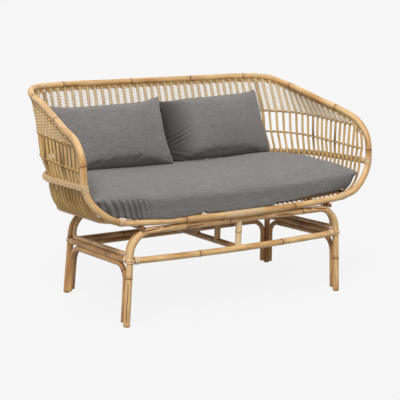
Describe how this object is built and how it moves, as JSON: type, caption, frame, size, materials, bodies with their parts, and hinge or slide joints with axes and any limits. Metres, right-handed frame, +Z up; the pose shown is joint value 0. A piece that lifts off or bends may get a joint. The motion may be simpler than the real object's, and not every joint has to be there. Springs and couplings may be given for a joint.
{
  "type": "rattan garden sofa",
  "caption": "Two-seat rattan sofa: bent pole base, rim loop with an open cane shell and cane deck, loose seat cushion and back pillows",
  "frame": {"origin": "on the ground, at the centre of the sofa's outline in width and depth", "axes": "+X along the width, to the right of a viewer who faces the front; -Y is the front; +Z up"},
  "size_m": [1.4128, 0.7356, 0.8595],
  "materials": {
    "rattan_pole": "lacquered rattan pole with its skin left on, satin, with darker growth nodes",
    "cane": "peeled cane and woven core, low satin",
    "cane_wrap": "pale split-cane binding, matt to satin",
    "cushion_fabric": "mid-grey melange canvas, matt"
  },
  "bodies": {
    "root": {"front_left_leg": "rattan_pole", "front_right_leg": "rattan_pole", "front_top_rail": "rattan_pole", "back_left_leg": "rattan_pole", "back_right_leg": "rattan_pole", "back_top_rail": "rattan_pole", "front_stretcher": "rattan_pole", "back_stretcher": "rattan_pole", "left_stretcher": "rattan_pole", "right_stretcher": "rattan_pole", "centre_stretcher": "rattan_pole", "left_lower_brace": "rattan_pole", "right_lower_brace": "rattan_pole", "back_lower_brace": "rattan_pole", "left_upper_brace": "rattan_pole", "right_upper_brace": "rattan_pole", "rim_back_rail": "rattan_pole", "rim_right_arm": "rattan_pole", "rim_left_arm": "rattan_pole", "front_rail_right": "rattan_pole", "front_rail_left": "rattan_pole", "mid_hoop": "rattan_pole", "bottom_ring": "rattan_pole", "centre_bearer": "rattan_pole", "left_bearer": "rattan_pole", "right_bearer": "rattan_pole", "post_1": "rattan_pole", "post_2": "rattan_pole", "post_3": "rattan_pole", "post_4": "rattan_pole", "left_corner_post": "cane", "right_corner_post": "cane", "front_left_lashing": "cane_wrap", "front_right_lashing": "cane_wrap", "back_left_lashing": "cane_wrap", "back_right_lashing": "cane_wrap", "left_corner_wrap": "cane_wrap", "left_arm_wrap": "cane_wrap", "left_seat_wrap": "cane_wrap", "right_corner_wrap": "cane_wrap", "right_arm_wrap": "cane_wrap", "right_seat_wrap": "cane_wrap", "centre_wrap": "cane_wrap", "left_cane_panel": "cane", "right_cane_panel": "cane", "back_cane_panel": "cane", "seat_deck": "cane"},
    "seat": {"seat_cushion": "cushion_fabric"},
    "pillow_left": {"left_pillow": "cushion_fabric"},
    "pillow_right": {"right_pillow": "cushion_fabric"}
  },
  "joints": [
    {"name": "seat_cushion_lift", "type": "slide", "parent": "root", "child": "seat", "axis": [0, 0, 1], "range_m": [0, 0.2]},
    {"name": "left_pillow_lift", "type": "slide", "parent": "seat", "child": "pillow_left", "axis": [0, 0, 1], "range_m": [0, 0.35]},
    {"name": "right_pillow_lift", "type": "slide", "parent": "seat", "child": "pillow_right", "axis": [0, 0, 1], "range_m": [0, 0.35]}
  ]
}
